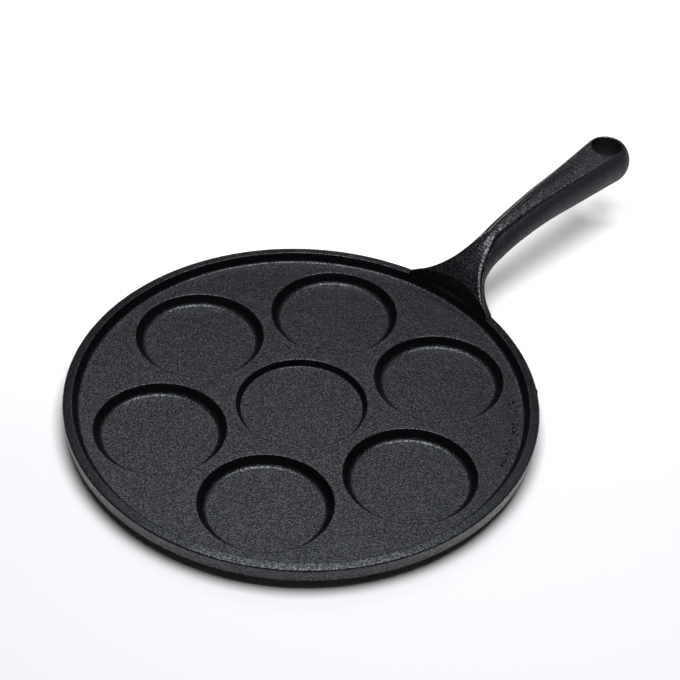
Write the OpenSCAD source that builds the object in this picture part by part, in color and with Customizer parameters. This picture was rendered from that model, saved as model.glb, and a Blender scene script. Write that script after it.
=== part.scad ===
// Cast iron pan for small round cakes: seven shallow wells in a griddle plate, a low rim,
// and a long handle that flares out of the rim and ends in a round eye for hanging.
// The handle points along +X. The pan stands on the undersides of its wells at Z = 0.

/* [Plate and rim] */
// Outer diameter over the top of the rim
pan_d = 240.6; // [234:0.2:280]
// Thickness of the griddle plate
plate_t = 3.6; // [3:0.1:5]
// Height of the rim above the plate
rim_h = 5; // [4:0.1:9]
// Width of the flat land on top of the rim
land_w = 5; // [3.5:0.1:6]
// How far the land falls towards its outer edge
land_fall = 0.8; // [0:0.1:1.5]
// Draft of the rim's inner face, in degrees from vertical
rim_draft = 23; // [5:1:30]
// Draft of the rim's outer face, in degrees from vertical
outer_draft = 6; // [3:1:20]
// Radius of the fillet between plate and rim
rim_fillet = 1.7; // [0.8:0.1:2.5]
// Radius of the rim's inner top edge
land_inner_round = 0.6; // [0.2:0.1:1]
// Radius of the rim's outer edges
rim_edge_round = 1; // [0.3:0.1:1.4]

/* [Wells] */
// Width of the plate between neighbouring wells
well_gap = 7.2; // [5:0.1:20]
// Width of the plate between the outer wells and the rim
rim_gap = 6.4; // [5:0.1:12]
// Depth of the outer wells below the plate
well_depth = 5.4; // [4:0.1:8]
// Depth of the centre well below the plate
centre_depth = 3.5; // [2.5:0.1:5]
// Draft of the well walls, in degrees from vertical
well_draft = 28; // [10:1:35]
// Radius of the fillet at the foot of an outer well's wall
well_fillet = 2.6; // [1:0.1:3]
// Radius of the fillet at the foot of the centre well's wall
centre_fillet = 0.9; // [0.4:0.1:2]
// Radius of the well's upper edge
mouth_round = 0.7; // [0.2:0.1:0.9]
// Thickness of iron under an outer well's floor
floor_t = 3.6; // [3:0.1:5]
// Width of the ring of plate that is cast with each well
collar_w = 1; // [1:0.1:1.3]
// Draft of the boss under each well, in degrees from vertical
boss_draft = 18; // [5:1:22]
// Radius of the boss's lower edge
boss_round = 1.2; // [0.5:0.1:1.4]

/* [Handle] */
// How far inside the rim's outer edge the corners of the flare stand
root_inset = 3.2; // [2:0.1:3.5]
// Width of the flare where it leaves the rim
flare_w = 54.6; // [48:0.2:66]
// How much further each side of the flare spreads where it meets the rim
root_spread = 8.5; // [3:0.1:10]
// Height of the flare's upper edge above the plate, at the rim
flare_edge_h = 5.8; // [5:0.1:9]
// Depth of the flare below its widest line, at the rim
flare_depth = 6.2; // [4:0.1:8]
// Drop from the upper edge to the widest line, at the rim
flare_drop = 4; // [2:0.1:5]
// Distance from the rim to the narrowest place of the handle
neck_reach = 27.1; // [22:0.1:34]
// Width of the handle at its narrowest place
neck_w = 17.2; // [16:0.1:21]
// Drop from the upper edge to the widest line, at the narrowest place
neck_drop = 7.6; // [5:0.1:7.8]
// Depth below the widest line, at the narrowest place
neck_depth = 8.2; // [6:0.1:10]
// Distance from the rim to the centre of the eye
eye_reach = 126; // [105:0.5:160]
// Width of the round end of the handle
end_w = 27.5; // [25:0.1:32]
// Height of the round end's upper edge above the plate
end_edge_h = 35.9; // [24:0.1:50]
// Drop from the upper edge to the widest line, at the round end
end_drop = 9.5; // [7:0.1:9.8]
// Diameter of the eye
eye_d = 16.4; // [8:0.2:17]
// Radius of the round shoulders beside the handle's top, at the rim
flare_shoulder = 4.4; // [1:0.1:5]
// Radius of the round shoulders beside the handle's top, at the eye
end_shoulder = 0.7; // [0.3:0.1:1.2]
// Rise of the handle's top between its shoulders
crown = 0.2; // [0.05:0.05:0.6]
// Distance from the eye back to where the round end begins
end_len = 24; // [18:1:34]

/* [Hidden] */
iron = [0.16, 0.16, 0.17];
iron_handle = [0.19, 0.19, 0.21];
$fn = 180;
well_count = 6;

// Heights above the surface that the pan stands on
plate_z = floor_t + well_depth;
under_z = plate_z - plate_t;
land_z = plate_z + rim_h;

// Radii of the pan
pan_r = pan_d / 2;
land_r = pan_r - land_w;
wall_foot_r = land_r - rim_h * tan(rim_draft);
plate_r = wall_foot_r - rim_fillet;
// Where the rim's outer face and the land would meet, so that the rounded edge reaches pan_r
edge_turn = 90 - atan(land_fall / land_w);
edge_r = pan_r
    + rim_edge_round * (cos((edge_turn - outer_draft) / 2) / cos((edge_turn + outer_draft) / 2) - 1);
lower_r = edge_r - (land_z - land_fall - under_z) * tan(outer_draft);

// Wells: one in the middle of six, all equal, that fill the plate but for the gaps
well_ring_r = (2 * (wall_foot_r - rim_gap) + well_gap) / 3;
mouth_r = (well_ring_r - well_gap) / 2;
collar_r = mouth_r + collar_w;

// How far a cutting shape runs past what it cuts, and the flare past the land before it is cut
overrun = 1;
root_overrun = 2;

// Stations along the handle
root_x = sqrt(pow(pan_r - root_inset, 2) - pow(flare_w / 2, 2));
start_x = sqrt(pow(land_r, 2) - pow(flare_w / 2, 2)) - root_overrun;
neck_x = pan_r + neck_reach;
eye_x = pan_r + eye_reach;
end_x = eye_x - end_len;

// How the handle's width changes: towards the rim, at the very root, and towards the eye
flare_power = 3.2;
spread_power = 4.5;
grip_power = 1.5;
// The flare's upper edge lies this far inside its side at the rim, and further in towards the neck
edge_inset = 0.3;
inset_power = 2.6;
// How far the shoulders turn from level to the upper edge, and how soon they tighten past the neck
shoulder_turn = 65;
shoulder_power = 0.6;

// Side view of the handle's upper edge: share of the way from rim to eye, share of the rise
edge_shape = [
    [0, 0], [0.03, 0.09], [0.1, 0.32], [0.2, 0.6], [0.285, 0.74], [0.4, 0.841], [0.55, 0.915],
    [0.75, 0.941], [1, 1]
];

function unit(v) = v / norm(v);
function mix(a, b, s) = a + (b - a) * s;
function share(x, from, to) = min(1, max(0, (x - from) / (to - from)));

// Points of a round corner at b, between its neighbours a and c
function corner(a, b, c, r, n = 6) =
    let (
        u = unit(a - b),
        v = unit(c - b),
        half = acos(u * v) / 2,
        centre = b + unit(u + v) * r / sin(half),
        p = b + u * r / tan(half) - centre,
        q = b + v * r / tan(half) - centre,
        from = atan2(p[1], p[0]),
        turn = atan2(q[1], q[0]) - from,
        sweep = turn > 180 ? turn - 360 : turn < -180 ? turn + 360 : turn
    )
    [for (i = [0:n]) centre + r * [cos(from + sweep * i / n), sin(from + sweep * i / n)]];

// Outline with round corners, from rows of [r, z, radius]
function rounded(rows) =
    let (n = len(rows), at = [for (row = rows) [row[0], row[1]]])
    [for (i = [0:n - 1])
        each rows[i][2] == 0 ? [at[i]]
            : corner(at[(i + n - 1) % n], at[i], at[(i + 1) % n], rows[i][2])];

// Smooth curve through rows of [x, value], with the slope at a row taken from its neighbours
function row_slope(p, i) =
    let (a = max(0, i - 1), b = min(len(p) - 1, i + 1))
    (p[b][1] - p[a][1]) / (p[b][0] - p[a][0]);
function curve(p, x) =
    let (
        i = max([for (k = [0:len(p) - 2]) p[k][0] <= x ? k : 0]),
        h = p[i + 1][0] - p[i][0],
        s = share(x, p[i][0], p[i + 1][0])
    )
    (2 * pow(s, 3) - 3 * pow(s, 2) + 1) * p[i][1]
    + (pow(s, 3) - 2 * pow(s, 2) + s) * h * row_slope(p, i)
    + (3 * pow(s, 2) - 2 * pow(s, 3)) * p[i + 1][1]
    + (pow(s, 3) - pow(s, 2)) * h * row_slope(p, i + 1);

// Rim: the ring outside the plate, as an outline of [r, z]
rim_outline = rounded([
    [plate_r, under_z, 0],
    [lower_r, under_z, rim_edge_round],
    [edge_r, land_z - land_fall, rim_edge_round],
    [land_r, land_z, land_inner_round],
    [wall_foot_r, plate_z, rim_fillet],
    [plate_r, plate_z, 0]
]);

// Front of the flare: it goes on from the rim's inner face at the same draft, and turns in one
// long round into the slope of the flare's top
front_lift = 2.8;
front_slope = 40;
front_h = flare_edge_h + shoulder_rise(flare_shoulder) + crown + front_lift - rim_h;
front_r = land_r + front_h * tan(rim_draft);
front_round = 0.9 * front_h / cos(rim_draft) * tan(45 + (rim_draft + front_slope) / 2);

// The pan's body with the space above it, whose side is the front of the flare.
// The flare is cut back to this, so that it sits on the land and against the rim's outer face.
above_h = 60;
envelope_outline = rounded([
    [0, under_z - flare_depth, 0],
    [lower_r, under_z - flare_depth, 0],
    [lower_r, under_z, 0],
    [edge_r, land_z - land_fall, rim_edge_round],
    [land_r, land_z, 0],
    [front_r, land_z + front_h, front_round],
    [front_r + (above_h - front_h) / tan(front_slope), land_z + above_h, 0],
    [0, land_z + above_h, 0]
]);

// Well: floor, drafted wall and collar above, boss below
function well_outline(depth, fillet) =
    let (
        floor_z = plate_z - depth,
        foot_r = mouth_r - depth * tan(well_draft),
        boss_r = collar_r - under_z * tan(boss_draft)
    )
    rounded([
        [0, 0, 0],
        [boss_r, 0, boss_round],
        [collar_r, under_z, 0],
        [collar_r, plate_z, 0],
        [mouth_r, plate_z, mouth_round],
        [foot_r, floor_z, fillet],
        [0, floor_z, 0]
    ]);

// Handle: how far x lies between rim and neck, and between neck and eye
function in_flare(x) = share(x, root_x, neck_x);
function in_grip(x) = share(x, neck_x, eye_x);

// Handle: half width, before the flare's sides spread into the rim and after
function straight_half_w(x) =
    x < neck_x
        ? mix(neck_w, flare_w, pow(1 - in_flare(x), flare_power)) / 2
        : mix(neck_w, end_w, pow(in_grip(x), grip_power)) / 2;
function half_w(x) =
    min(flare_w / 2, straight_half_w(x) + root_spread * pow(1 - in_flare(x), spread_power));

// Handle: height of the upper edge, and its drop to the widest line
function edge_z(x) =
    plate_z + mix(flare_edge_h, end_edge_h, curve(edge_shape, share(x, root_x, eye_x)));
function drop(x) =
    x < neck_x ? mix(flare_drop, neck_drop, in_flare(x)) : mix(neck_drop, end_drop, pow(in_grip(x), 2));

// Handle: half width at the upper edge, which lies on the round of the grip
function edge_half_w(x) =
    x < neck_x
        ? straight_half_w(x)
            - mix(edge_inset, half_w(neck_x) - edge_half_w(neck_x), pow(in_flare(x), inset_power))
        : sqrt(pow(half_w(x), 2) - pow(drop(x), 2));

// Handle: depth below the widest line
function depth_below(x) =
    x < neck_x
        ? mix(flare_depth, neck_depth, in_flare(x))
        : half_w(x) * mix(2 * neck_depth / neck_w, 1, in_grip(x));

// Handle: radius of the shoulders, which never meet in the middle, and their rise
function shoulder(x) =
    min(
        mix(flare_shoulder, end_shoulder, pow(in_grip(x), shoulder_power)),
        0.96 * edge_half_w(x) / sin(shoulder_turn)
    );
function shoulder_rise(r) = r * (1 - cos(shoulder_turn));

// Handle: number of rings in the flare, grip and end, and of steps round the end
flare_steps = 14;
grip_steps = 14;
end_steps = 5;
end_turns = 18;

// Handle: right half of its outline square to X, from the crown down to the keel
top_steps = 2;
shoulder_steps = 4;
side_steps = 4;
keel_steps = 8;
function half_section(x) =
    let (
        w = half_w(x),
        edge_w = edge_half_w(x),
        mid_z = edge_z(x) - drop(x),
        below = depth_below(x),
        r = shoulder(x),
        flat_w = edge_w - r * sin(shoulder_turn),
        flat_z = edge_z(x) + shoulder_rise(r),
        side_h = drop(x) / sqrt(1 - pow(edge_w / w, 2)),
        edge_angle = acos(edge_w / w)
    )
    concat(
        [for (i = [0:top_steps - 1])
            [flat_w * i / top_steps, flat_z + crown * (1 - pow(i / top_steps, 2))]],
        [for (i = [0:shoulder_steps])
            let (a = shoulder_turn * i / shoulder_steps)
            [flat_w + r * sin(a), flat_z - r * (1 - cos(a))]],
        [for (i = [1:side_steps])
            let (a = edge_angle * (1 - i / side_steps))
            [w * cos(a), mid_z + side_h * sin(a)]],
        [for (i = [1:keel_steps])
            let (a = 90 * i / keel_steps)
            [w * cos(a), mid_z - below * sin(a)]]
    );

// Handle: whole ring of points at x, and a solid through the rings at several x
function ring(x) =
    let (half = half_section(x), n = len(half))
    concat(
        [for (q = half) [x, q[0], q[1]]],
        [for (i = [n - 2:-1:1]) [x, -half[i][0], half[i][1]]]
    );

// Faces of a lofted surface between ring k and the next
function band(k, n) =
    [for (i = [0:n - 1])
        let (a = k * n + i, b = k * n + (i + 1) % n)
        each [[a, a + n, b], [a + n, b + n, b]]];

module loft(stations) {
    rings = [for (x = stations) ring(x)];
    n = len(rings[0]);
    m = len(rings);
    polyhedron(
        points = [for (r = rings) each r],
        faces = concat(
            [[for (i = [0:n - 1]) i]],
            [for (k = [0:m - 2]) each band(k, n)],
            [[for (i = [n - 1:-1:0]) (m - 1) * n + i]]
        )
    );
}

// The same, closed by turning the last half section half way round an upright axis
module loft_with_round_end(stations, turns) {
    rings = [for (x = stations) ring(x)];
    n = len(rings[0]);
    m = len(rings);
    end = stations[m - 1];
    half = half_section(end);
    h = len(half);
    last = (m - 1) * n;
    // Number of the point in row i of the turned section after j of its turns
    function at(j, i) =
        i == 0 || i == h - 1 || j == 0 ? last + i
            : j == turns ? last + n - i
            : last + n + (j - 1) * (h - 2) + i - 1;
    polyhedron(
        points = concat(
            [for (r = rings) each r],
            [for (j = [1:turns - 1], i = [1:h - 2])
                let (a = 90 - 180 * j / turns)
                [end + half[i][0] * cos(a), half[i][0] * sin(a), half[i][1]]]
        ),
        faces = concat(
            [[for (i = [0:n - 1]) i]],
            [for (k = [0:m - 2]) each band(k, n)],
            [for (j = [0:turns - 1], i = [0:h - 3]) [at(j, i), at(j + 1, i + 1), at(j, i + 1)]],
            [for (j = [0:turns - 1], i = [1:h - 2]) [at(j, i), at(j + 1, i), at(j + 1, i + 1)]]
        )
    );
}

function stations(from, to, steps, bias = 1) =
    [for (i = [0:steps]) mix(from, to, pow(i / steps, bias))];

// The hole in the plate that a well with its collar fills
module well_hole() {
    translate([0, 0, under_z - overrun]) cylinder(r = collar_r, h = plate_t + 2 * overrun);
}

module griddle_plate() {
    color(iron)
    difference() {
        translate([0, 0, under_z]) cylinder(r = plate_r, h = plate_t);
        well_hole();
        for (k = [1:well_count]) {
            at_ring(k) well_hole();
        }
    }
}

module rim_wall() {
    color(iron) rotate_extrude() polygon(rim_outline);
}

module well_centre() {
    color(iron) rotate_extrude() polygon(well_outline(centre_depth, centre_fillet));
}

// The outer wells lie either side of the handle's line, from the first on its left round
module at_ring(k) {
    rotate([0, 0, (k - 0.5) * 360 / well_count]) translate([well_ring_r, 0, 0]) children();
}

module outer_well(k) {
    color(iron) at_ring(k) rotate_extrude() polygon(well_outline(well_depth, well_fillet));
}

module handle_flare() {
    color(iron_handle)
    difference() {
        loft(concat([start_x], stations(root_x, neck_x, flare_steps, 1.25)));
        rotate_extrude() polygon(envelope_outline);
    }
}

module handle_grip() {
    color(iron_handle) loft(stations(neck_x, end_x, grip_steps));
}

module handle_eye() {
    top_z = edge_z(eye_x) + shoulder_rise(end_shoulder) + crown;
    keel_z = edge_z(eye_x) - end_drop - end_w / 2;
    color(iron_handle)
    difference() {
        loft_with_round_end(stations(end_x, eye_x, end_steps), end_turns);
        translate([eye_x, 0, keel_z - overrun]) cylinder(d = eye_d, h = top_z - keel_z + 2 * overrun);
    }
}

griddle_plate();
rim_wall();
well_centre();
outer_well(1);  // well_1
outer_well(2);  // well_2
outer_well(3);  // well_3
outer_well(4);  // well_4
outer_well(5);  // well_5
outer_well(6);  // well_6
handle_flare();
handle_grip();
handle_eye();
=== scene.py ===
import math

import bmesh
import bpy
import numpy as np
from mathutils import Euler, Matrix, Vector, geometry, noise


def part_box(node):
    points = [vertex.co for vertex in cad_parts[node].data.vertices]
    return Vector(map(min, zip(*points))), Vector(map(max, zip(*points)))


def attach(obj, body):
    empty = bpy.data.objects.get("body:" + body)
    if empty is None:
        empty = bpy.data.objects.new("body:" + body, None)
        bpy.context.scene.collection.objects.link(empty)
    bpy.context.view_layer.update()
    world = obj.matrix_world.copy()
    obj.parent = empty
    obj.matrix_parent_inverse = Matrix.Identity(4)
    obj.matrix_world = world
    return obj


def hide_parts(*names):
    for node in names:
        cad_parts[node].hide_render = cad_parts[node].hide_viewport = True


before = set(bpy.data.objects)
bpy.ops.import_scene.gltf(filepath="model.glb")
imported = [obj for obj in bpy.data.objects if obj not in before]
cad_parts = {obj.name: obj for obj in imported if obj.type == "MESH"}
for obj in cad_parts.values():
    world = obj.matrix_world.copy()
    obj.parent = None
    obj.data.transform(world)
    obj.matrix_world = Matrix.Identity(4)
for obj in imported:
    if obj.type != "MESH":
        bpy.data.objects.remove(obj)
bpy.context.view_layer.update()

mm = 0.001
random = np.random.default_rng(7)
noise.seed_set(7)  # noise_vector would start from the clock

print("stage: camera")

# fitted to the mouths of the wells and the rim in the 680 x 680 photograph
photoView = {
    "azimuth": -49.183,  # degrees, 0 looks along +Y
    "elevation": 40.821,
    "roll": 3.1205,
    "target": (49.324, 19.303, 9.0),  # mm
    "distance": 1146.774,  # mm
    "lens": 115.9726, "sensor": 36.0,  # mm
    "clipStart": 0.01, "clipEnd": 50.0,  # m
}


def placeCamera(view):
    azimuth, elevation, roll = (math.radians(view[k]) for k in ("azimuth", "elevation", "roll"))
    back = Vector((
        math.sin(azimuth) * math.cos(elevation),
        -math.cos(azimuth) * math.cos(elevation),
        math.sin(elevation),
    ))
    level = (-back).cross(Vector((0, 0, 1))).normalized()
    upright = level.cross(-back)
    right = level * math.cos(roll) + upright * math.sin(roll)
    up = upright * math.cos(roll) - level * math.sin(roll)
    place = (Vector(view["target"]) + back * view["distance"]) * mm
    data = bpy.data.cameras.new("photoCamera")
    data.lens, data.sensor_width, data.sensor_fit = view["lens"], view["sensor"], "HORIZONTAL"
    data.clip_start, data.clip_end = view["clipStart"], view["clipEnd"]
    camera = bpy.data.objects.new("photoCamera", data)
    bpy.context.scene.collection.objects.link(camera)
    camera.matrix_world = Matrix.Translation(place) @ Matrix((right, up, back)).transposed().to_4x4()
    bpy.context.scene.camera = camera


placeCamera(photoView)

print("stage: sizes from the frame")


# corners of a node's box, in mm
def boxOf(node):
    low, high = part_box(node)
    return np.array(low) / mm, np.array(high) / mm


plateLow, plateHigh = boxOf("griddle_plate")
rimHigh = boxOf("rim_wall")[1]
wellHigh = boxOf("well_centre")[1]
gripLow = boxOf("handle_grip")[0]
eyeLow, eyeHigh = boxOf("handle_eye")

plateTop, plateUnder, plateRadius = plateHigh[2], plateLow[2], plateHigh[0]
rimTop, rimRadius = rimHigh[2], rimHigh[0]
collarRadius = wellHigh[0]
neckX, endX, tipX = gripLow[0], eyeLow[0], eyeHigh[0]
endWidth = eyeHigh[1] - eyeLow[1]
eyeX = tipX - endWidth / 2


# shared shape helpers, all in mm
def lerp(a, b, s):
    return a + (b - a) * s


def share(x, start, end):
    return np.clip((x - start) / (end - start), 0.0, 1.0)


# round corner at b between a and c
def roundCorner(a, b, c, radius, steps):
    a, b, c = (np.array(p, float) for p in (a, b, c))
    u, v = (a - b) / np.linalg.norm(a - b), (c - b) / np.linalg.norm(c - b)
    half = math.acos(float(u @ v)) / 2
    middle = b + (u + v) / np.linalg.norm(u + v) * radius / math.sin(half)
    first = b + u * radius / math.tan(half) - middle
    last = b + v * radius / math.tan(half) - middle
    start = math.atan2(first[1], first[0])
    turn = (math.atan2(last[1], last[0]) - start + math.pi) % (2 * math.pi) - math.pi
    return [
        middle + radius * np.array([math.cos(start + turn * i / steps), math.sin(start + turn * i / steps)])
        for i in range(steps + 1)
    ]


# outline from rows of (r, z, corner radius, longest step on the way there)
def roundedOutline(rows, steps=8):
    points = []
    for i, (r, z, radius, step) in enumerate(rows):
        before, after = rows[i - 1], rows[(i + 1) % len(rows)]
        new = [np.array([r, z], float)]
        if radius:
            new = roundCorner(before[:2], (r, z), after[:2], radius, steps)
        if points:
            gap = new[0] - points[-1]
            count = max(1, math.ceil(np.linalg.norm(gap) / step))
            points += [points[-1] + gap * k / count for k in range(1, count)]
        points += new
    return points


# surface of revolution about an upright axis, from an outline of (r, z); a ring if it is closed
def latheFaces(outline, centre, segments, closed):
    verts, rows, faces = [], [], []
    for r, z in outline:
        if r < 1e-6:
            rows.append([len(verts)] * segments)
            verts.append((centre[0], centre[1], z))
            continue
        rows.append(list(range(len(verts), len(verts) + segments)))
        for k in range(segments):
            a = 2 * math.pi * k / segments
            verts.append((centre[0] + r * math.cos(a), centre[1] + r * math.sin(a), z))
    count = len(rows)
    for i in range(count if closed else count - 1):
        low, high = rows[i], rows[(i + 1) % count]
        for k in range(segments):
            n = (k + 1) % segments
            face = [low[k], low[n], high[n], high[k]]
            faces.append([v for j, v in enumerate(face) if v != face[j - 1]])
    return np.array(verts), faces


# the cast surface is never quite true: a small shift that depends on place alone, so that
# neighbouring pieces stay joined
castSurface = {
    "waveLength": 9.0, "waveHeight": 0.05,  # mm
    "dimpleLength": 2.4, "dimpleHeight": 0.035,  # mm
    "fadeHeight": 0.6,  # mm over the floor, below which it fades
    "slack": 0.06,  # mm kept free inside the CAD box for it
}


def uneven(verts):
    look, out = castSurface, verts.copy()
    for i, p in enumerate(verts):
        wave = noise.noise_vector(Vector(p) / look["waveLength"]) * look["waveHeight"]
        dimple = noise.noise_vector(Vector(p) / look["dimpleLength"]) * look["dimpleHeight"]
        out[i] += np.array(wave + dimple) * min(1.0, max(0.0, p[2] / look["fadeHeight"]))
    return out


# puts a piece in the scene: smooth, with edges kept where its faces turn sharply
def makePiece(name, verts, faces, nodes, material, sharpAngle=38.0, attributes=None):
    mesh = bpy.data.meshes.new(name)
    mesh.from_pydata([tuple(v) for v in np.asarray(verts) * mm], [], faces)
    bm = bmesh.new()
    bm.from_mesh(mesh)
    bmesh.ops.recalc_face_normals(bm, faces=bm.faces)
    bm.to_mesh(mesh)
    bm.free()
    mesh.polygons.foreach_set("use_smooth", [True] * len(mesh.polygons))
    mesh.set_sharp_from_angle(angle=math.radians(sharpAngle))
    if attributes:
        for key, values in attributes.items():
            layer = mesh.attributes.new(key, "FLOAT", "POINT")
            layer.data.foreach_set("value", np.asarray(values, np.float32))
    mesh.materials.append(material)
    piece = bpy.data.objects.new(name, mesh)
    bpy.context.scene.collection.objects.link(piece)
    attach(piece, "root")
    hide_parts(*nodes)
    return piece


print("stage: materials")


def newGroup(name, inputs, outputs):
    group = bpy.data.node_groups.new(name, "ShaderNodeTree")
    for label, kind, value in inputs:
        socket = group.interface.new_socket(label, in_out="INPUT", socket_type=kind)
        if value is not None:
            socket.default_value = value
    for label, kind in outputs:
        group.interface.new_socket(label, in_out="OUTPUT", socket_type=kind)
    start = group.nodes.new("NodeGroupInput")
    end = group.nodes.new("NodeGroupOutput")
    return group, start, end


def addNode(tree, kind, settings=None, values=None):
    node = tree.nodes.new(kind)
    for key, value in (settings or {}).items():
        setattr(node, key, value)
    for key, value in (values or {}).items():
        node.inputs[key].default_value = value
    return node


def mathNode(tree, operation, a, b=None, clamp=False):
    node = addNode(tree, "ShaderNodeMath", {"operation": operation, "use_clamp": clamp})
    for i, value in enumerate((a, b)):
        if value is None:
            continue
        if isinstance(value, (int, float)):
            node.inputs[i].default_value = value
        else:
            tree.links.new(value, node.inputs[i])
    return node.outputs[0]


def noiseNode(tree, vector, scale, detail, roughness):
    node = addNode(tree, "ShaderNodeTexNoise", None, {"Detail": detail, "Roughness": roughness})
    tree.links.new(vector, node.inputs["Vector"])
    if isinstance(scale, (int, float)):
        node.inputs["Scale"].default_value = scale
    else:
        tree.links.new(scale, node.inputs["Scale"])
    return node.outputs["Fac"]


def rangeNode(tree, value, low, high, toLow=0.0, toHigh=1.0):
    limits = {"From Min": low, "From Max": high, "To Min": toLow, "To Max": toHigh}
    node = addNode(tree, "ShaderNodeMapRange", {"interpolation_type": "SMOOTHSTEP"}, limits)
    tree.links.new(value, node.inputs["Value"])
    return node.outputs["Result"]


def times(tree, a, b):
    return mathNode(tree, "MULTIPLY", a, b)


def plus(tree, a, b, clamp=False):
    return mathNode(tree, "ADD", a, b, clamp)


# goes smoothly from one value to another as a mask rises from 0 to 1
def between(tree, mask, fromValue, toValue):
    return rangeNode(tree, mask, 0.0, 1.0, fromValue, toValue)


def meshValue(tree, name):
    return addNode(tree, "ShaderNodeAttribute", {"attribute_name": name}).outputs["Fac"]


# scales and lengths are shares of one grain, and limits are levels of the noise
grainLook = {
    "coarseScale": 0.3, "speckScale": 0.9, "cellSmooth": 0.4, "cellReach": 0.9,
    "fineShare": 0.8, "cellShare": 0.4, "coarseShare": 0.35,
    "speckFrom": 0.56, "speckTo": 0.72, "darkFrom": 0.46, "darkTo": 0.3,
    "peakSpecks": 0.6, "peakFine": 0.4, "peakFrom": 0.36, "peakTo": 0.7,
    "blotchScale": 45.0, "blotchFrom": 0.3, "blotchTo": 0.7,  # scale per metre
}


# sand grain of the mould: small rounded grains on a rough ground, with bright and dark specks and
# wide blotches
def makeSandGrain():
    g = grainLook
    group, start, end = newGroup(
        "sandGrain",
        [("Vector", "NodeSocketVector", None), ("Grains Per Metre", "NodeSocketFloat", 1100.0)],
        [("Height", "NodeSocketFloat"), ("Specks", "NodeSocketFloat"), ("Dark", "NodeSocketFloat"),
         ("Peaks", "NodeSocketFloat"), ("Blotches", "NodeSocketFloat")],
    )
    vector, scale = start.outputs["Vector"], start.outputs["Grains Per Metre"]
    fine = noiseNode(group, vector, scale, detail=2.0, roughness=0.6)
    coarseScale, speckScale = times(group, scale, g["coarseScale"]), times(group, scale, g["speckScale"])
    coarse = noiseNode(group, vector, coarseScale, detail=2.0, roughness=0.5)
    speckNoise = noiseNode(group, vector, speckScale, detail=0.0, roughness=0.5)
    blotchNoise = noiseNode(group, vector, g["blotchScale"], detail=5.0, roughness=0.6)
    cells = addNode(group, "ShaderNodeTexVoronoi", {"feature": "SMOOTH_F1"}, {"Smoothness": g["cellSmooth"]})
    group.links.new(vector, cells.inputs["Vector"])
    group.links.new(scale, cells.inputs["Scale"])
    grains = mathNode(group, "SUBTRACT", g["cellReach"], cells.outputs["Distance"], clamp=True)
    height = plus(group, times(group, fine, g["fineShare"]), times(group, grains, g["cellShare"]))
    height = plus(group, height, times(group, coarse, g["coarseShare"]))
    peaks = plus(group, times(group, speckNoise, g["peakSpecks"]), times(group, fine, g["peakFine"]))
    for label, value in (
        ("Height", height),
        ("Specks", rangeNode(group, speckNoise, g["speckFrom"], g["speckTo"])),
        ("Dark", rangeNode(group, speckNoise, g["darkFrom"], g["darkTo"])),
        ("Peaks", rangeNode(group, peaks, g["peakFrom"], g["peakTo"])),
        ("Blotches", rangeNode(group, blotchNoise, g["blotchFrom"], g["blotchTo"])),
    ):
        group.links.new(value, end.inputs[label])
    return group


pitLook = {
    "scale": 480.0, "reach": 0.34, "bottom": 0.2,  # cells per metre, shares of a cell
    "raggedScale": 900.0, "ragged": 0.0014,  # per metre, m
}


# small deep black pits, each in a cell of its own, where Amount allows them
def makePits():
    p = pitLook
    group, start, end = newGroup(
        "pits",
        [("Vector", "NodeSocketVector", None), ("Amount", "NodeSocketFloat", 0.0)],
        [("Pits", "NodeSocketFloat")],
    )
    bend = addNode(group, "ShaderNodeTexNoise", None, {"Scale": p["raggedScale"], "Detail": 1.0})
    group.links.new(start.outputs["Vector"], bend.inputs["Vector"])
    ragged = addNode(
        group, "ShaderNodeVectorMath", {"operation": "MULTIPLY_ADD"}, {1: (p["ragged"], p["ragged"], 0.0)})
    group.links.new(bend.outputs["Color"], ragged.inputs[0])
    group.links.new(start.outputs["Vector"], ragged.inputs[2])
    cells = addNode(
        group, "ShaderNodeTexVoronoi", {"feature": "F1", "voronoi_dimensions": "2D"}, {"Scale": p["scale"]})
    group.links.new(ragged.outputs[0], cells.inputs["Vector"])
    chosen = addNode(group, "ShaderNodeSeparateColor")
    group.links.new(cells.outputs["Color"], chosen.inputs[0])
    inside = rangeNode(group, cells.outputs["Distance"], p["reach"], p["bottom"])
    allowed = mathNode(group, "LESS_THAN", chosen.outputs[0], start.outputs["Amount"])
    group.links.new(times(group, inside, allowed), end.inputs["Pits"])
    return group


# limits are levels of the mesh's pointiness and of the noise that breaks the wear up
wearLook = {"scale": 700.0, "edgeFrom": 0.53, "edgeTo": 0.6, "breakFrom": 0.35, "breakTo": 0.6}


# edges rubbed by use, broken up by the grain
def makeEdgeWear():
    w = wearLook
    group, start, end = newGroup(
        "edgeWear", [("Vector", "NodeSocketVector", None)], [("Edges", "NodeSocketFloat")])
    shape = addNode(group, "ShaderNodeNewGeometry")
    breakup = noiseNode(group, start.outputs["Vector"], w["scale"], detail=3.0, roughness=0.6)
    edges = rangeNode(group, shape.outputs["Pointiness"], w["edgeFrom"], w["edgeTo"])
    broken = rangeNode(group, breakup, w["breakFrom"], w["breakTo"])
    group.links.new(times(group, edges, broken), end.inputs["Edges"])
    return group


grainTurn = (0.6, 0.8, 0.3)  # radians about X, Y and Z, so that no flat face lies along a layer of the noise
sandGrain = makeSandGrain()
pits = makePits()
edgeWear = makeEdgeWear()

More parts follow.
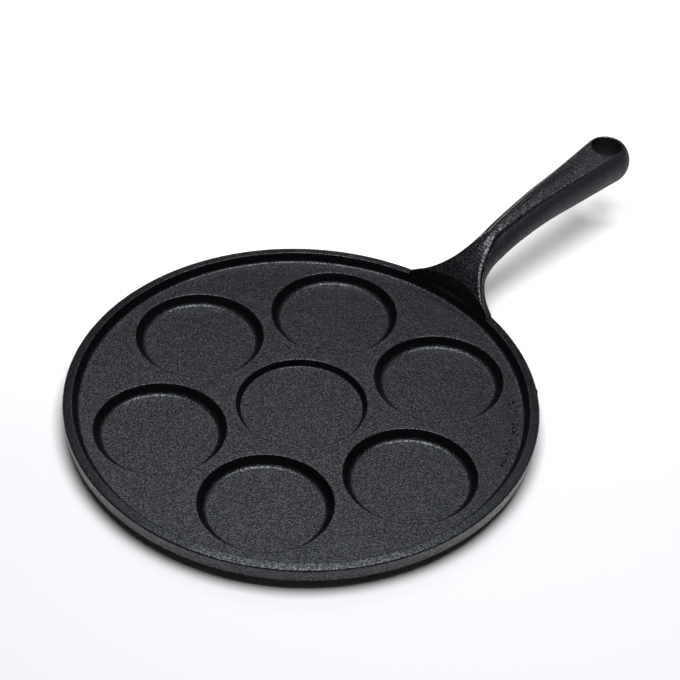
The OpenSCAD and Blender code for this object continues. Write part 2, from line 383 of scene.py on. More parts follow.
# finish that both irons share: the pits, and how the look changes as a face turns upright or away
castFinish = {
    "pitColour": (0.001, 0.001, 0.001, 1), "pitRough": 0.5, "pitDepth": 2.0,
    "uprightFrom": 0.3, "uprightTo": 0.8,  # rise of the face's normal
    "turnedFrom": 0.7, "turnedTo": 0.95,  # facing, 1 where the face is seen edge on
}
bodyIron = {
    "base": (0.002, 0.0021, 0.0026, 1), "blotch": (0.0027, 0.0028, 0.0034, 1),
    "speck": (0.008, 0.0083, 0.0095, 1), "worn": (0.012, 0.012, 0.014, 1), "tint": (0.7, 0.8, 1.0, 1),
    "roughLow": 0.26, "roughHigh": 0.32, "darkRough": 0.2, "specular": 0.26,
    "grains": 1250.0, "bumpStrength": 1.0, "bumpDistance": 0.0004, "uprightGrain": 0.3,  # per metre, m
    "oilLow": 0.14, "oilHigh": 0.98, "oilRough": 0.25, "edgeOil": 0.25, "topName": "",
}
handleIron = {
    "base": (0.002, 0.0019, 0.0026, 1), "blotch": (0.003, 0.0028, 0.0037, 1),
    "speck": (0.008, 0.008, 0.01, 1), "worn": (0.01, 0.01, 0.0125, 1), "tint": (0.86, 0.86, 1.0, 1),
    "roughLow": 0.26, "roughHigh": 0.32, "darkRough": 0.16,
    "specular": 0.12, "heldSpecular": 0.84, "grainSheen": 0.45,  # at the root, at the end, swing of both
    "grains": 1150.0, "bumpStrength": 1.0, "bumpDistance": 0.0004, "uprightGrain": 0.7,  # per metre, m
    "oilLow": 0.14, "oilHigh": 1.0, "oilRough": 0.23, "edgeOil": 0.25, "topName": "castTop",
    "sideRough": 0.34, "sideOil": 0.1, "sideSpecular": 0.52, "sideGrain": 0.8, "sideSheen": 0.15,
}


def mixColour(tree, factor, a, b):
    node = addNode(tree, "ShaderNodeMix", {"data_type": "RGBA"})
    tree.links.new(factor, node.inputs[0])
    for socket, value in ((node.inputs[6], a), (node.inputs[7], b)):
        if isinstance(value, tuple):
            socket.default_value = value
        else:
            tree.links.new(value, socket)
    return node.outputs[2]


# masks that one material's finish is made of; "top" is there where the look names a mesh value for it,
# and the grain fades where that value is low and where a face stands upright
def ironMasks(tree, look):
    f = castFinish
    place = addNode(tree, "ShaderNodeTexCoord").outputs["Object"]
    askew = addNode(tree, "ShaderNodeVectorRotate", {"rotation_type": "EULER_XYZ"}, {"Rotation": grainTurn})
    tree.links.new(place, askew.inputs["Vector"])
    grain = addNode(tree, "ShaderNodeGroup", {"node_tree": sandGrain}, {"Grains Per Metre": look["grains"]})
    wear = addNode(tree, "ShaderNodeGroup", {"node_tree": edgeWear})
    pitted = addNode(tree, "ShaderNodeGroup", {"node_tree": pits})
    for node, vector in ((grain, askew.outputs[0]), (wear, askew.outputs[0]), (pitted, place)):
        tree.links.new(vector, node.inputs["Vector"])
    tree.links.new(meshValue(tree, "pitted"), pitted.inputs["Amount"])
    facing = addNode(tree, "ShaderNodeSeparateXYZ")
    tree.links.new(addNode(tree, "ShaderNodeNewGeometry").outputs["Normal"], facing.inputs[0])
    faded = rangeNode(tree, facing.outputs["Z"], f["uprightFrom"], f["uprightTo"], look["uprightGrain"], 1.0)
    masks = {"pits": pitted.outputs["Pits"], "edges": wear.outputs["Edges"],
             "peaks": grain.outputs["Peaks"], "blotches": grain.outputs["Blotches"]}
    if look["topName"]:
        masks["top"] = meshValue(tree, look["topName"])
        faded = times(tree, faded, between(tree, masks["top"], look["sideGrain"], 1.0))
    for label in ("Specks", "Dark", "Height"):
        masks[label.lower()] = times(tree, grain.outputs[label], faded)
    return masks


def ironColour(tree, look, masks):
    colour = mixColour(tree, masks["blotches"], look["base"], look["blotch"])
    colour = mixColour(tree, masks["specks"], colour, look["speck"])
    colour = mixColour(tree, masks["edges"], colour, look["worn"])
    return mixColour(tree, masks["pits"], colour, castFinish["pitColour"])


def ironRoughness(tree, look, masks):
    rough = between(tree, masks["blotches"], look["roughLow"], look["roughHigh"])
    rough = plus(tree, rough, times(tree, masks["dark"], look["darkRough"]))
    rough = plus(tree, rough, times(tree, masks["pits"], castFinish["pitRough"]), clamp=True)
    if "top" in masks:
        rough = plus(tree, rough, between(tree, masks["top"], look["sideRough"], 0.0))
    return rough


# level of the iron's own reflection; a handle's top gets smoother towards the end that is held, and
# shines on its grains
def ironSheen(tree, look, masks):
    dry = mathNode(tree, "SUBTRACT", 1.0, masks["pits"], clamp=True)
    if "top" not in masks:
        return times(tree, dry, look["specular"])
    side = look["sideSpecular"]
    more = between(tree, meshValue(tree, "held"), look["specular"] - side, look["heldSpecular"] - side)
    level = plus(tree, times(tree, masks["top"], more), side)
    swing = between(tree, masks["peaks"], -look["grainSheen"], look["grainSheen"])
    swing = times(tree, swing, between(tree, masks["top"], look["sideSheen"], 1.0))
    return times(tree, dry, times(tree, level, plus(tree, swing, 1.0)))


# thickness of the seasoning's oil film: thick on the grains, thin on the sides and in the pits
def ironOil(tree, look, masks):
    f = castFinish
    oil = between(tree, masks["peaks"], look["oilLow"], look["oilHigh"])
    oil = mathNode(tree, "SUBTRACT", oil, masks["pits"], clamp=True)
    if "top" in masks:
        oil = times(tree, oil, between(tree, masks["top"], look["sideOil"], 1.0))
    turned = addNode(tree, "ShaderNodeLayerWeight").outputs["Facing"]
    return times(tree, oil, rangeNode(tree, turned, f["turnedFrom"], f["turnedTo"], 1.0, look["edgeOil"]))


# seasoned black iron
def castIron(name, look):
    material = bpy.data.materials.new(name)
    material.use_nodes = True
    tree = material.node_tree
    shader = tree.nodes["Principled BSDF"]
    masks = ironMasks(tree, look)
    bump = addNode(
        tree, "ShaderNodeBump", None, {"Strength": look["bumpStrength"], "Distance": look["bumpDistance"]})
    sunk = times(tree, masks["pits"], castFinish["pitDepth"])
    tree.links.new(mathNode(tree, "SUBTRACT", masks["height"], sunk), bump.inputs["Height"])
    for label, value in (
        ("Base Color", ironColour(tree, look, masks)),
        ("Roughness", ironRoughness(tree, look, masks)),
        ("Specular IOR Level", ironSheen(tree, look, masks)),
        ("Coat Weight", ironOil(tree, look, masks)),
        ("Normal", bump.outputs["Normal"]),
    ):
        tree.links.new(value, shader.inputs[label])
    shader.inputs["Specular Tint"].default_value = look["tint"]
    shader.inputs["Coat Roughness"].default_value = look["oilRough"]
    return material


panIron = castIron("panIron", bodyIron)
gripIron = castIron("gripIron", handleIron)

print("stage: griddle plate")

plateShape = {
    "meshStep": 1.5, "rowStep": 0.866, "jitter": 0.12, "edgeClear": 0.9,  # mm, shares of the step, mm
    "pitRadius": 107.5, "pitWidth": 2.2, "pitShare": 0.4,  # mm
    "pitFrom": -74.0, "pitTo": -40.0, "pitFade": 8.0,  # degrees
}
wellSegments = 192
rimSegments = 720


def centreOf(node):
    low, high = boxOf(node)
    return (low + high)[:2] / 2


wellNodes = ["well_centre"] + [f"well_{k}" for k in range(1, 7)]
wellCentres = [centreOf(n) for n in wellNodes]


def circlePoints(centre, radius, count):
    turn = 2 * np.pi * np.arange(count) / count
    return np.stack([centre[0] + radius * np.cos(turn), centre[1] + radius * np.sin(turn)], 1)


def makePlate():
    s = plateShape
    step, clear = s["meshStep"], s["edgeClear"]
    loops = [circlePoints((0, 0), plateRadius, rimSegments)]
    loops += [circlePoints(c, collarRadius, wellSegments) for c in wellCentres]
    rows = int(plateRadius / (step * s["rowStep"])) + 1
    grid = np.array([
        (step * (i + 0.5 * (j % 2)), step * s["rowStep"] * j)
        for j in range(-rows, rows + 1) for i in range(-rows, rows + 1)
    ])
    grid += random.uniform(-s["jitter"], s["jitter"], grid.shape) * step
    keep = np.hypot(*grid.T) < plateRadius - clear
    for c in wellCentres:
        keep &= np.hypot(*(grid - c).T) > collarRadius + clear
    points = np.concatenate(loops + [grid[keep]])
    edges, first = [], 0
    for loop in loops:
        n = len(loop)
        edges += [(first + i, first + (i + 1) % n) for i in range(n)]
        first += n
    made = geometry.delaunay_2d_cdt([Vector(p) for p in points], edges, [], 0, 1e-4)
    flat, triangles = np.array([tuple(p) for p in made[0]]), made[2]
    middles = np.array([flat[list(t)].mean(0) for t in triangles])
    inside = np.hypot(*middles.T) < plateRadius
    for c in wellCentres:
        inside &= np.hypot(*(middles - c).T) > collarRadius * math.cos(math.pi / wellSegments)
    top = [list(t) for t, ok in zip(triangles, inside) if ok]
    n = len(flat)
    faces = top + [[v + n for v in reversed(t)] for t in top]
    sides = {}
    for t in top:
        for a, b in zip(t, t[1:] + t[:1]):
            sides[(a, b)] = True
    for a, b in sides:
        if (b, a) not in sides:
            faces.append([b, a, a + n, b + n])
    verts = np.concatenate([
        np.column_stack([flat, np.full(n, plateTop)]), np.column_stack([flat, np.full(n, plateUnder)])
    ])
    turn = np.degrees(np.arctan2(verts[:, 1], verts[:, 0]))
    pitted = s["pitShare"] * np.exp(-((np.hypot(*verts[:, :2].T) - s["pitRadius"]) / s["pitWidth"]) ** 2)
    pitted *= share(turn, s["pitFrom"], s["pitFrom"] + s["pitFade"])
    pitted *= share(turn, s["pitTo"], s["pitTo"] - s["pitFade"])
    pitted *= verts[:, 2] == plateTop
    makePiece(
        "griddlePlate", uneven(verts), faces, ["griddle_plate"], panIron,
        attributes={"pitted": pitted})


makePlate()

print("stage: rim")

rimShape = {
    "landWidth": 5.0, "landFall": 0.8, "innerDraft": 23.0, "outerDraft": 6.0,  # mm, degrees
    "footFillet": 2.1, "innerRound": 0.6, "edgeRound": 1.0,
    "nubAngle": -42.5, "nubOut": 0.4, "nubUp": 0.3, "nubWidth": 1.3,  # small leftover of the mould
    "nubInset": 0.2, "nubDrop": 0.3,  # from the outer radius and from the land's outer edge
}


# radii of the land's inner edge, of the foot of the wall inside it, and of the outer face's corners
def rimRadii():
    s = rimShape
    landRadius = rimRadius - s["landWidth"]
    footRadius = landRadius - (rimTop - plateTop) * math.tan(math.radians(s["innerDraft"]))
    edgeTurn = math.radians(90) - math.atan(s["landFall"] / s["landWidth"])
    draft = math.radians(s["outerDraft"])
    edgeRadius = rimRadius - castSurface["slack"] + s["edgeRound"] * (
        math.cos((edgeTurn - draft) / 2) / math.cos((edgeTurn + draft) / 2) - 1)
    lowerRadius = edgeRadius - (rimTop - s["landFall"] - plateUnder) * math.tan(draft)
    return landRadius, footRadius, edgeRadius, lowerRadius


def makeRim():
    s = rimShape
    landRadius, footRadius, edgeRadius, lowerRadius = rimRadii()
    edgeZ = rimTop - s["landFall"]
    outline = roundedOutline([
        (plateRadius, plateUnder, 0, 2.0),
        (lowerRadius, plateUnder, s["edgeRound"], 1.0),
        (edgeRadius, edgeZ, s["edgeRound"], 0.8),
        (landRadius, rimTop, s["innerRound"], 0.8),
        (footRadius, plateTop, s["footFillet"], 0.8),
        (plateRadius, plateTop, 0, 0.8),
    ])
    verts, faces = latheFaces(outline, (0, 0), rimSegments, True)
    verts = uneven(verts)
    nubTurn = math.radians(s["nubAngle"])
    outward = np.array([math.cos(nubTurn), math.sin(nubTurn), 0.0])
    nub = outward * (rimRadius - s["nubInset"]) + np.array([0, 0, edgeZ - s["nubDrop"]])
    near = np.exp(-(np.linalg.norm(verts - nub, axis=1) / s["nubWidth"]) ** 2)
    verts += near[:, None] * (outward * s["nubOut"] + np.array([0, 0, s["nubUp"]]))
    makePiece("rimWall", verts, faces, ["rim_wall"], panIron)


makeRim()

print("stage: wells")

wellShape = {
    "collar": 1.0, "draft": 28.0, "mouthRound": 0.7, "outerFillet": 3.4, "centreFillet": 0.9,  # mm, degrees
    "outerDepth": 5.4, "centreDepth": 3.5, "bossDraft": 18.0, "bossRound": 1.2,
}


def makeWell(name, node, centre, depth, fillet):
    s = wellShape
    mouthRadius = collarRadius - s["collar"]
    floorZ = plateTop - depth
    footRadius = mouthRadius - depth * math.tan(math.radians(s["draft"]))
    bossRadius = collarRadius - plateUnder * math.tan(math.radians(s["bossDraft"]))
    outline = roundedOutline([
        (0, 0, 0, 2.5),
        (bossRadius, 0, s["bossRound"], 2.5),
        (collarRadius, plateUnder, 0, 1.2),
        (collarRadius, plateTop, 0, 4.0),
        (mouthRadius, plateTop, s["mouthRound"], 0.6),
        (footRadius, floorZ, fillet, 0.6),
        (0, floorZ, 0, 1.0),
    ])
    verts, faces = latheFaces(outline, centre, wellSegments, False)
    makePiece(name, uneven(verts), faces, [node], panIron)


for nodeName, centrePlace in zip(wellNodes, wellCentres):
    middle = nodeName == "well_centre"
    makeWell(
        "wellCentre" if middle else "well" + nodeName[-1], nodeName, centrePlace,
        wellShape["centreDepth" if middle else "outerDepth"],
        wellShape["centreFillet" if middle else "outerFillet"],
    )

print("stage: handle")

# lengths in mm, angles in degrees
handleShape = {
    # outline
    "rootInset": 3.2, "flareWidth": 54.6, "rootSpread": 8.5, "flareEdge": 5.8, "flareDepth": 6.2,
    "flareDrop": 4.0, "neckWidth": 17.2, "neckDrop": 7.6, "neckDepth": 8.2, "endEdge": 35.9, "endDrop": 9.5,
    "flarePower": 3.2, "spreadPower": 4.5, "gripPower": 1.5, "edgeInset": 0.3, "insetPower": 2.6,
    "flareShoulder": 4.4, "endShoulderRise": 0.7, "endShoulderWidth": 1.8, "shoulderPower": 0.6,
    "shoulderTurn": 65.0, "shoulderLimit": 0.96,  # the limit is a share of the half width
    "crown": 0.2, "gripCrown": 0.5, "crownPower": 1.5,  # rise of the top, and its further rise on the grip
    "crownStart": 8.0, "crownEnd": 9.0,  # before the neck, before the eye
    "eyeRadius": 8.2, "eyeLip": 1.0, "boreDown": 30.0, "boreUp": 45.0,
    # side view of the upper edge: share of the way from rim to eye, share of the rise
    "edgeRows": (
        (0, 0), (0.03, 0.09), (0.1, 0.32), (0.2, 0.6), (0.285, 0.74), (0.4, 0.841), (0.55, 0.915),
        (0.75, 0.941), (1, 1),
    ),
    # front of the flare, standing a little over the rim's inner wall; its round is a share
    "frontLift": 2.8, "frontSlope": 40.0, "frontProud": 0.2, "frontLip": 1.6, "frontRound": 0.9,
    "frontOverlap": 1.8, "frontClear": 0.4, "cutUp": 60.0, "cutDown": 30.0,
    # mesh, and where its top goes back to the true height
    "flareRings": 56, "ringSpread": 1.25, "gripRings": 84, "endTurns": 48, "rootOverlap": 2.0,
    "voxel": 0.36, "smoothSteps": 5, "settleInset": 0.25, "settleReach": 0.3, "settleClear": 0.4,
    # cast skin; it fades inwards from the upper edge, upwards to it, and outwards from the eye
    "topRough": 0.045, "sideRough": 0.02, "fineLength": 1.1, "coarseLength": 2.6, "fineShare": 0.6,
    "creaseDepth": 0.2, "creaseWidth": 0.45, "raggedLength": 2.0, "raggedMean": 0.65, "raggedSwing": 0.8,
    "skinFade": (-0.5, 0.9), "castFade": (-0.4, 0.7), "levelFade": (-2.0, -0.6), "eyeFade": 0.8,
}
rootX = math.sqrt((rimRadius - handleShape["rootInset"]) ** 2 - (handleShape["flareWidth"] / 2) ** 2)
shoulderBend = math.radians(handleShape["shoulderTurn"])
farOff = 99.0  # mm, longer than any stretch of an outline, so that the stretch stays one step


# smooth curve through rows of (x, value)
def smoothCurve(rows, x):
    rows, last = np.array(rows, float), len(rows) - 1
    slopes = np.array([
        (rows[min(last, i + 1), 1] - rows[max(0, i - 1), 1])
        / (rows[min(last, i + 1), 0] - rows[max(0, i - 1), 0]) for i in range(last + 1)
    ])
    i = np.clip(np.searchsorted(rows[:, 0], x, side="right") - 1, 0, last - 1)
    width = rows[i + 1, 0] - rows[i, 0]
    s = np.clip((x - rows[i, 0]) / width, 0, 1)
    return (
        (2 * s**3 - 3 * s**2 + 1) * rows[i, 1] + (s**3 - 2 * s**2 + s) * width * slopes[i]
        + (3 * s**2 - 2 * s**3) * rows[i + 1, 1] + (s**3 - s**2) * width * slopes[i + 1]
    )


# sizes of the handle's outline square to X: half width, half width and height of the upper edge,
# drop to the widest line, depth below that, rise and width of the shoulders' round, half width and
# height of the flat between them, and its crown
def handleSizes(x):
    h = handleShape
    flare, grip = share(x, rootX, neckX), share(x, neckX, eyeX)
    inFlare = x < neckX
    straight = np.where(
        inFlare,
        lerp(h["neckWidth"], h["flareWidth"], (1 - flare) ** h["flarePower"]) / 2,
        lerp(h["neckWidth"], endWidth, grip ** h["gripPower"]) / 2,
    )
    half = np.minimum(h["flareWidth"] / 2, straight + h["rootSpread"] * (1 - flare) ** h["spreadPower"])
    drop = np.where(
        inFlare, lerp(h["flareDrop"], h["neckDrop"], flare), lerp(h["neckDrop"], h["endDrop"], grip**2))
    neckInset = h["neckWidth"] / 2 - math.sqrt((h["neckWidth"] / 2) ** 2 - h["neckDrop"] ** 2)
    edge = np.where(
        inFlare,
        straight - lerp(h["edgeInset"], neckInset, flare ** h["insetPower"]),
        np.sqrt(np.maximum(half**2 - drop**2, 0.01)),
    )
    height = plateTop + lerp(h["flareEdge"], h["endEdge"], smoothCurve(h["edgeRows"], share(x, rootX, eyeX)))
    depth = np.where(
        inFlare, lerp(h["flareDepth"], h["neckDepth"], flare),
        half * lerp(2 * h["neckDepth"] / h["neckWidth"], 1, grip))
    widest = h["shoulderLimit"] * edge / math.sin(shoulderBend)
    rise = np.minimum(lerp(h["flareShoulder"], h["endShoulderRise"], grip ** h["shoulderPower"]), widest)
    width = np.minimum(lerp(h["flareShoulder"], h["endShoulderWidth"], grip), widest)
    onGrip = share(x, neckX - h["crownStart"], eyeX - h["crownEnd"])
    return {
        "half": half, "edge": edge, "height": height, "drop": drop, "depth": depth,
        "rise": rise, "width": width, "flat": edge - width * math.sin(shoulderBend),
        "flatHeight": height + rise * (1 - math.cos(shoulderBend)),
        "crown": h["crown"] + h["gripCrown"] * np.sin(np.pi * onGrip) ** h["crownPower"],
    }


# right half of that outline, from the crown down to the keel
def halfSection(x, topSteps=8, shoulderSteps=12, sideSteps=12, keelSteps=22):
    size = {key: float(value) for key, value in handleSizes(np.float64(x)).items()}
    half, edge, widestHeight = size["half"], size["edge"], size["height"] - size["drop"]
    sideHeight, turn = size["drop"] / math.sqrt(1 - (edge / half) ** 2), math.acos(edge / half)
    points = [
        (size["flat"] * i / topSteps, size["flatHeight"] + size["crown"] * (1 - (i / topSteps) ** 2) ** 2)
        for i in range(topSteps)
    ]
    for i in range(shoulderSteps + 1):
        a = shoulderBend * i / shoulderSteps
        across = size["flat"] + size["width"] * math.sin(a)
        points.append((across, size["flatHeight"] - size["rise"] * (1 - math.cos(a))))
    for i in range(1, sideSteps + 1):
        a = turn * (1 - i / sideSteps)
        points.append((half * math.cos(a), widestHeight + sideHeight * math.sin(a)))
    for i in range(1, keelSteps + 1):
        a = math.pi / 2 * i / keelSteps
        points.append((half * math.cos(a), widestHeight - size["depth"] * math.sin(a)))
    return points


def closedMesh(name, verts, faces):
    mesh = bpy.data.meshes.new(name)
    mesh.from_pydata([tuple(v) for v in np.asarray(verts)], [], faces)
    bm = bmesh.new()
    bm.from_mesh(mesh)
    bmesh.ops.remove_doubles(bm, verts=bm.verts, dist=1e-4)
    bmesh.ops.recalc_face_normals(bm, faces=bm.faces)
    bm.to_mesh(mesh)
    bm.free()
    obj = bpy.data.objects.new(name, mesh)
    bpy.context.scene.collection.objects.link(obj)
    return obj


# the handle as one solid: rings along it, then the last half outline turned round the eye
def handleBlank():
    h = handleShape
    landRadius = rimRadius - rimShape["landWidth"]
    startX = math.sqrt(landRadius**2 - (h["flareWidth"] / 2) ** 2) - h["rootOverlap"]
    flareSteps = [(i / h["flareRings"]) ** h["ringSpread"] for i in range(h["flareRings"] + 1)]
    gripSteps = [i / h["gripRings"] for i in range(1, h["gripRings"] + 1)]
    stations = [startX] + [lerp(rootX, neckX, s) for s in flareSteps]
    stations += [lerp(neckX, eyeX, s) for s in gripSteps]
    rings = []
    for x in stations:
        half = halfSection(x)
        rings.append([(x, y, z) for y, z in half] + [(x, -y, z) for y, z in reversed(half[1:-1])])
    count = len(rings[0])
    verts = [p for ring in rings for p in ring]
    faces = [list(range(count))]
    for k in range(len(rings) - 1):
        for i in range(count):
            n = (i + 1) % count
            faces.append([k * count + i, k * count + n, (k + 1) * count + n, (k + 1) * count + i])
    half, first = halfSection(eyeX), len(verts)
    for j in range(h["endTurns"] + 1):
        a = math.pi / 2 - math.pi * j / h["endTurns"]
        verts += [(eyeX + y * math.cos(a), y * math.sin(a), z) for y, z in half]
    rows = len(half)
    for j in range(h["endTurns"]):
        for i in range(rows - 1):
            a = first + j * rows + i
            faces.append([a, a + 1, a + rows + 1, a + rows])
    return closedMesh("handleBlank", verts, faces)


# swaps an object's mesh for what its modifiers make of it
def applied(obj):
    bpy.context.view_layer.update()
    made = bpy.data.meshes.new_from_object(obj.evaluated_get(bpy.context.evaluated_depsgraph_get()))
    obj.modifiers.clear()
    obj.data = made


# takes one closed shape from another
def cutAway(target, cutter):
    step = target.modifiers.new("cut", "BOOLEAN")
    step.operation, step.solver, step.object = "DIFFERENCE", "EXACT", cutter
    applied(target)
    bpy.data.objects.remove(cutter)


# fine even mesh in place of the long faces
def remesh(obj):
    step = obj.modifiers.new("cast", "REMESH")
    step.mode, step.voxel_size, step.adaptivity = "VOXEL", handleShape["voxel"], 0.0
    applied(obj)


# the space inside the rim, carried on upwards as the front of the flare: that stands just proud of
# the rim's inner wall, and turns in one long round into the slope of the flare's top
def panSpace(roundSteps=14, segments=360):
    h = handleShape
    landRadius, _, _, lowerRadius = rimRadii()
    draft, slope = math.radians(rimShape["innerDraft"]), math.radians(h["frontSlope"])
    flareTop = plateTop + h["flareEdge"] + h["flareShoulder"] * (1 - math.cos(shoulderBend)) + h["crown"]
    height = flareTop + h["frontLift"] - rimTop
    proud = h["frontProud"] / math.cos(draft)
    frontRadius = landRadius + height * math.tan(draft) - proud
    frontRound = h["frontRound"] * height / math.cos(draft) * math.tan(math.radians(45) + (draft + slope) / 2)
    inside, floor = landRadius + h["frontOverlap"], plateUnder + h["frontClear"]
    above, below = rimTop + h["cutUp"], plateUnder - h["cutDown"]
    outline = roundedOutline([
        (0, below, 0, farOff),
        (lowerRadius - h["frontClear"], below, 0, farOff),
        (lowerRadius - h["frontClear"], floor, 0, farOff),
        (inside, floor, 0, farOff),
        (inside, rimTop - h["frontLip"], 0, farOff),
        (landRadius - h["frontLip"] * math.tan(draft) - proud, rimTop - h["frontLip"], 0, farOff),
        (frontRadius, rimTop + height, frontRound, farOff),
        (frontRadius + (above - rimTop - height) / math.tan(slope), above, 0, farOff),
        (0, above, 0, farOff),
    ], roundSteps)
    return closedMesh("panSpace", *latheFaces(outline, (0, 0), segments, False))


# the hanging hole, widening to a round lip at the top
def eyeBore(lipSteps=6, segments=128):
    radius, lip = handleShape["eyeRadius"], handleShape["eyeLip"]
    below, above = eyeLow[2] - handleShape["boreDown"], eyeHigh[2] + handleShape["boreUp"]
    outline = [(0, below), (radius, below)]
    for i in range(lipSteps + 1):
        a = math.radians(90 * i / lipSteps)
        outline.append((radius + lip * (1 - math.cos(a)), eyeHigh[2] - lip * (1 - math.sin(a))))
    outline += [(radius + lip, above), (0, above)]
    return closedMesh("eyeBore", *latheFaces(outline, (eyeX, 0), segments, False))


def pointsOf(bm):
    return np.array([v.co[:] for v in bm.verts])


def normalsOf(bm):
    bm.normal_update()
    return np.array([v.normal[:] for v in bm.verts])


# how far a point lies from the handle's middle line, round the end as well as beside it
def sideways(verts):
    beyond = np.maximum(verts[:, 0] - eyeX, 0)
    return np.hypot(beyond, verts[:, 1]), np.minimum(verts[:, 0], eyeX)


def fromEye(verts):
    return np.hypot(verts[:, 0] - eyeX, verts[:, 1])


# height of the handle's top beside its middle line, by the same rule as its outline
def topHeight(aside, size):
    turn = np.arcsin(np.clip((aside - size["flat"]) / size["width"], 0, math.sin(shoulderBend)))
    across = np.minimum(aside / np.maximum(size["flat"], 0.01), 1)
    return np.where(
        aside < size["flat"],
        size["flatHeight"] + size["crown"] * (1 - across**2) ** 2,
        size["flatHeight"] - size["rise"] * (1 - np.cos(turn)),
    )


# 1 on the handle's top, fading to 0 over its upper edges
def onTop(verts, edgeFade):
    aside, along = sideways(verts)
    size = handleSizes(along)
    levels = share(verts[:, 2] - size["height"], *handleShape["levelFade"])
    return share(size["edge"] - aside, *edgeFade) * levels


# the whole handle as a fine even mesh, with its top back at the true height
def meshHandle():
    h = handleShape
    blank = handleBlank()
    cutAway(blank, panSpace())
    cutAway(blank, eyeBore())
    remesh(blank)
    bm = bmesh.new()
    bm.from_mesh(blank.data)
    bpy.data.objects.remove(blank)
    for _ in range(h["smoothSteps"]):
        bmesh.ops.smooth_vert(
            bm, verts=bm.verts, factor=0.5, use_axis_x=True, use_axis_y=True, use_axis_z=True)
    verts = pointsOf(bm)
    aside, along = sideways(verts)
    size = handleSizes(along)
    trueTop = topHeight(aside, size)
    settle = size["edge"] - aside > h["settleInset"]
    settle &= np.abs(trueTop - verts[:, 2]) < h["settleReach"]
    settle &= fromEye(verts) > h["eyeRadius"] + h["eyeLip"] + h["settleClear"]
    for v, z, ok in zip(bm.verts, trueTop, settle):
        if ok:
            v.co.z = z
    return bm


# presses the cast skin and the ragged crease along the upper edges into the mesh
def roughen(bm):
    h = handleShape
    normals, verts = normalsOf(bm), pointsOf(bm)
    aside, along = sideways(verts)
    size = handleSizes(along)
    top = onTop(verts, h["skinFade"])
    top *= share(fromEye(verts), h["eyeRadius"], h["eyeRadius"] + h["eyeFade"])
    crease = np.hypot(aside - size["edge"], verts[:, 2] - size["height"])
    shift = np.zeros(len(verts))
    askew = Euler(grainTurn).to_matrix()
    for i, p in enumerate(verts):
        place = askew @ Vector(p)
        grain = noise.noise(place / h["fineLength"]) * h["fineShare"] + noise.noise(place / h["coarseLength"])
        ragged = h["raggedMean"] + h["raggedSwing"] * noise.noise(place / h["raggedLength"])
        shift[i] = grain * lerp(h["sideRough"], h["topRough"], top[i])
        shift[i] -= h["creaseDepth"] * ragged * math.exp(-(crease[i] / h["creaseWidth"]) ** 2)
    for v, p in zip(bm.verts, verts + normals * shift[:, None]):
        v.co = p


# loops of points round the open ends of a shell, each in the order that closes it
def openEnds(faces):
    directed = {(a, b) for f in faces for a, b in zip(f, f[1:] + f[:1])}
    border = {b: a for a, b in directed if (b, a) not in directed}
    loops = []
    while border:
        start, point = border.popitem()
        loop = [start, point]
        while point != start and point in border:
            point = border.pop(point)
            loop.append(point)
        loops.append(loop[:-1])
    return loops


# one length of the handle, closed by flat caps; it keeps the whole handle's normals, so that no seam shows
def makeHandlePart(name, node, faces, verts, normals):
    used = sorted({v for f in faces for v in f})
    number = {v: i for i, v in enumerate(used)}
    mine = [[number[v] for v in f] for f in faces]
    caps = openEnds(mine)
    values = {
        "castTop": onTop(verts, handleShape["castFade"])[used],
        "held": share(verts[used, 0], rootX, endX),
    }
    part = makePiece(
        name, verts[used], mine + caps, [node], gripIron, sharpAngle=180.0, attributes=values)
    loops = []
    for face in part.data.polygons:
        capped = face.index >= len(mine)
        for i in face.vertices:
            loops.append(tuple(face.normal) if capped else tuple(normals[used[i]]))
    part.data.normals_split_custom_set(loops)


def makeHandle():
    bm = meshHandle()
    roughen(bm)
    for x in (neckX, endX):
        bmesh.ops.bisect_plane(
            bm, geom=bm.verts[:] + bm.edges[:] + bm.faces[:], dist=1e-5,
            plane_co=(x, 0, 0), plane_no=(1, 0, 0))
    normals, verts = normalsOf(bm), pointsOf(bm)
    bm.verts.index_update()
    faces = [[v.index for v in f.verts] for f in bm.faces]
    middles = [f.calc_center_median()[0] for f in bm.faces]
    bm.free()
    for name, node, low, high in (
        ("handleFlare", "handle_flare", -1e9, neckX),
        ("handleGrip", "handle_grip", neckX, endX),
        ("handleEye", "handle_eye", endX, 1e9),
    ):
        mine = [f for f, x in zip(faces, middles) if low < x < high]
        makeHandlePart(name, node, mine, verts, normals)


makeHandle()

print("stage: floor and light")

# places and directions below are in m, along the photograph's right, away from the camera, and up
photoRight = Vector((0.654, -0.757, 0.0))
photoAway = Vector((0.757, 0.653, 0.0))
studio = {
    "floorSize": 6.0, "floorLow": -0.00005,  # a hair below the pan
    "floorSeen": (0.98, 0.98, 0.98, 1), "floorColour": (0.45, 0.45, 0.45, 1),
    "paintedFloorGlow": 0.35, "glowFrom": -0.06, "glowTo": 0.24,  # painted glow on the floor: its level far behind the pan, and where it starts and ends; it lightens the handle's shadow
    "softboxPlace": (0.05, 0.02, 1.1), "softboxSize": (0.82, 0.7), "softboxPower": 13.8,
    "backPlace": (-0.3, 1.85, 2.06), "backSize": (1.2, 0.8), "backPower": 5.3,
    "sidePlace": (0.85, 1.75, 1.98), "sideSize": (0.9, 0.8), "sidePower": 1.0,
    "lampsFrom": (0.03, 0.0, 0.01), "lightColour": (0.965, 0.975, 1.0), "worldLevel": 0.02,
}
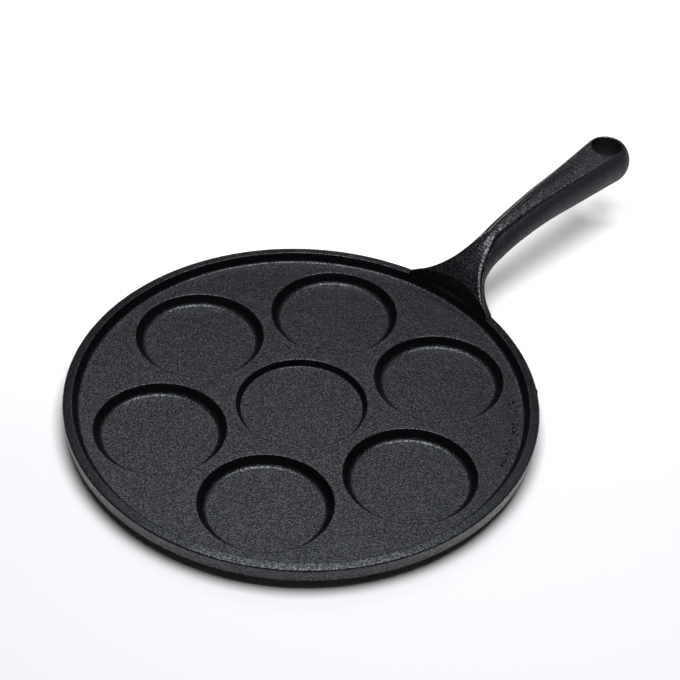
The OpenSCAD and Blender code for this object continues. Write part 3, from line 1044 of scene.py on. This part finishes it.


# plain pale floor, white to the eye and in reflections, greyer for the light that it throws back; a painted
# glow, seen only by the camera and in reflections, brightens it towards the back and lightens the handle's
# shadow on it
def makeFloor():
    s, low = studio["floorSize"] / 2, studio["floorLow"]
    mesh = bpy.data.meshes.new("floor")
    mesh.from_pydata([(-s, -s, low), (s, -s, low), (s, s, low), (-s, s, low)], [], [[0, 1, 2, 3]])
    material = bpy.data.materials.new("paleFloor")
    material.use_nodes = True
    tree = material.node_tree
    tree.nodes.clear()
    output = addNode(tree, "ShaderNodeOutputMaterial")
    paint = addNode(tree, "ShaderNodeBsdfDiffuse")
    paintedFloorGlow = addNode(tree, "ShaderNodeEmission", None, {"Color": (1, 1, 1, 1)})
    rays = addNode(tree, "ShaderNodeLightPath")
    seen = mathNode(tree, "MAXIMUM", rays.outputs["Is Camera Ray"], rays.outputs["Is Glossy Ray"])
    seen = mathNode(tree, "MAXIMUM", seen, rays.outputs["Is Transmission Ray"])
    tree.links.new(mixColour(tree, seen, studio["floorColour"], studio["floorSeen"]), paint.inputs["Color"])
    place = addNode(tree, "ShaderNodeTexCoord").outputs["Object"]
    far = addNode(tree, "ShaderNodeVectorMath", {"operation": "DOT_PRODUCT"}, {1: photoAway})
    tree.links.new(place, far.inputs[0])
    # painted glow: the floor grows brighter towards the back for the camera and in reflections, though it is
    # no lamp
    level = rangeNode(tree, far.outputs["Value"], studio["glowFrom"], studio["glowTo"], 0.0, studio["paintedFloorGlow"])
    tree.links.new(mathNode(tree, "MULTIPLY", seen, level), paintedFloorGlow.inputs["Strength"])
    both = addNode(tree, "ShaderNodeAddShader")
    tree.links.new(paint.outputs[0], both.inputs[0])
    tree.links.new(paintedFloorGlow.outputs[0], both.inputs[1])
    tree.links.new(both.outputs[0], output.inputs["Surface"])
    mesh.materials.append(material)
    floor = bpy.data.objects.new("floor", mesh)
    bpy.context.scene.collection.objects.link(floor)


# rectangular lamp whose width lies along the photograph's right and which faces the pan
def softLight(name, place, size, power):
    data = bpy.data.lights.new(name, "AREA")
    data.shape, data.size, data.size_y, data.energy = "RECTANGLE", size[0], size[1], power
    data.color = studio["lightColour"]
    lamp = bpy.data.objects.new(name, data)
    bpy.context.scene.collection.objects.link(lamp)
    outward = photoAway * place[1] + Vector((0, 0, place[2]))
    spot = Vector(studio["lampsFrom"]) + photoRight * place[0] + outward
    back = outward.normalized()
    turned = Matrix((photoRight, back.cross(photoRight), back)).transposed().to_4x4()
    lamp.matrix_world = Matrix.Translation(spot) @ turned
    lamp.visible_camera = False


# white to the camera, almost dark to everything else
def makeWorld():
    world = bpy.data.worlds.new("studioWorld")
    bpy.context.scene.world = world
    world.use_nodes = True
    tree = world.node_tree
    background = tree.nodes["Background"]
    rays = addNode(tree, "ShaderNodeLightPath")
    level = addNode(tree, "ShaderNodeMix", {"data_type": "FLOAT"}, {2: studio["worldLevel"], 3: 1.0})
    tree.links.new(rays.outputs["Is Camera Ray"], level.inputs[0])
    tree.links.new(level.outputs[0], background.inputs["Strength"])
    background.inputs["Color"].default_value = (1, 1, 1, 1)


makeFloor()
softLight("topSoftbox", studio["softboxPlace"], studio["softboxSize"], studio["softboxPower"])
softLight("backPanel", studio["backPlace"], studio["backSize"], studio["backPower"])
softLight("sidePanel", studio["sidePlace"], studio["sideSize"], studio["sidePower"])
makeWorld()

bpy.context.scene.view_settings.view_transform = "Standard"
